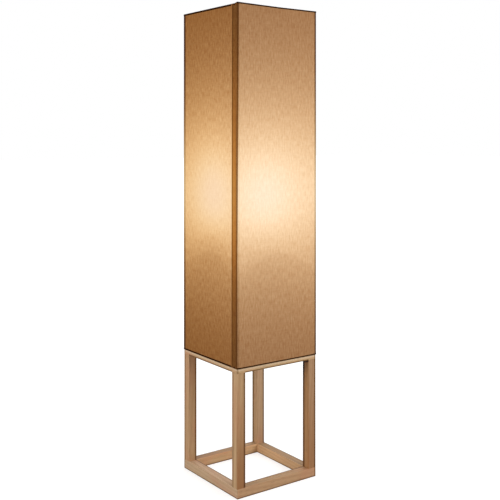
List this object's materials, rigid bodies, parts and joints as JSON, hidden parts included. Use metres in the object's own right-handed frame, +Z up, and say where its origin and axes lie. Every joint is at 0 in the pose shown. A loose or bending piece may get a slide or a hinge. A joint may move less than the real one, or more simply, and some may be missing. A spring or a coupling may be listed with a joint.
{
  "type": "andon floor lamp",
  "caption": "Tall square cloth shade glowing over an open cube base of square wooden stock, with a bulb on a stem inside.",
  "frame": {"origin": "on the floor, under the middle of the base", "axes": "+Z up, -Y towards the front, and the cloth's seam on the -X side beside the front corner"},
  "size_m": [0.2532, 0.2532, 1.22],
  "materials": {
    "oak": "light oiled oak, fine open grain",
    "felt": "dark brown pressed felt",
    "dowel": "plain beech dowel",
    "screw_steel": "zinc plated steel",
    "bridge_paint": "cream paint on pressed steel",
    "zinc_steel": "zinc plated steel",
    "satin_brass": "satin brass",
    "black_nylon": "black moulded nylon",
    "grey_fibre": "grey pressed fibre",
    "black_phenolic": "black moulded phenolic",
    "contact_alloy": "bright rolled aluminium",
    "solder": "dull solder",
    "black_glass": "black glassy insulator",
    "white_plastic": "white moulded plastic",
    "led_board": "white coated aluminium board",
    "opal_plastic": "opal diffusing plastic",
    "tan_cloth": "tan linen-look cloth",
    "brown_binding": "brown woven tape",
    "wire_paint": "white enamelled wire",
    "liner_plastic": "translucent off-white sheet",
    "batten_wood": "plain softwood"
  },
  "bodies": {
    "base": {"bottom_mitre_dowels": "dowel", "bottom_post_screws": "screw_steel", "bottom_rail_back": "oak", "bottom_rail_front": "oak", "bottom_rail_left": "oak", "bottom_rail_right": "oak", "bridge_screws": "screw_steel", "cord_bushing": "black_nylon", "foot_pads": "felt", "holder_body": "black_phenolic", "holder_cap": "satin_brass", "holder_contact": "satin_brass", "holder_screw_shell": "contact_alloy", "holder_set_screw": "screw_steel", "holder_shell": "satin_brass", "holder_sleeve": "grey_fibre", "lamp_bridge": "bridge_paint", "lamp_pipe": "zinc_steel", "lock_nut": "zinc_steel", "neck_ring": "satin_brass", "post_back_left": "oak", "post_back_right": "oak", "post_front_left": "oak", "post_front_right": "oak", "seat_washer": "satin_brass", "stem_tube": "satin_brass", "terminal_screws": "satin_brass", "tooth_washer": "zinc_steel", "top_mitre_dowels": "dowel", "top_post_screws": "screw_steel", "top_rail_back": "oak", "top_rail_front": "oak", "top_rail_left": "oak", "top_rail_right": "oak"},
    "shade": {"shade_batten_back": "batten_wood", "shade_batten_front": "batten_wood", "shade_batten_left": "batten_wood", "shade_batten_right": "batten_wood", "shade_cloth": "tan_cloth", "shade_foot_binding": "brown_binding", "shade_liner_back": "liner_plastic", "shade_liner_front": "liner_plastic", "shade_liner_left": "liner_plastic", "shade_liner_right": "liner_plastic", "shade_top_binding": "brown_binding", "shade_top_wire": "wire_paint"},
    "bulb": {"bulb_tip": "solder", "bulb_insulator": "black_glass", "bulb_screw_cap": "contact_alloy", "bulb_housing": "white_plastic", "bulb_led_board": "led_board", "bulb_globe": "opal_plastic"},
    "switch_key": {"switch_shaft": "satin_brass", "switch_key": "black_phenolic"}
  },
  "joints": [
    {"name": "shade_lift", "type": "slide", "parent": "base", "child": "shade", "axis": [0, 0, 1], "range_m": [0, 0.45]},
    {"name": "bulb_unscrew", "type": "hinge", "parent": "base", "child": "bulb", "pos_m": [0, 0, 0.668], "axis": [0, 0, 1], "range_deg": [0, 1440]},
    {"name": "switch_turn", "type": "hinge", "parent": "base", "child": "switch_key", "pos_m": [0.0164, 0, 0.647], "axis": [1, 0, 0], "continuous": true}
  ]
}
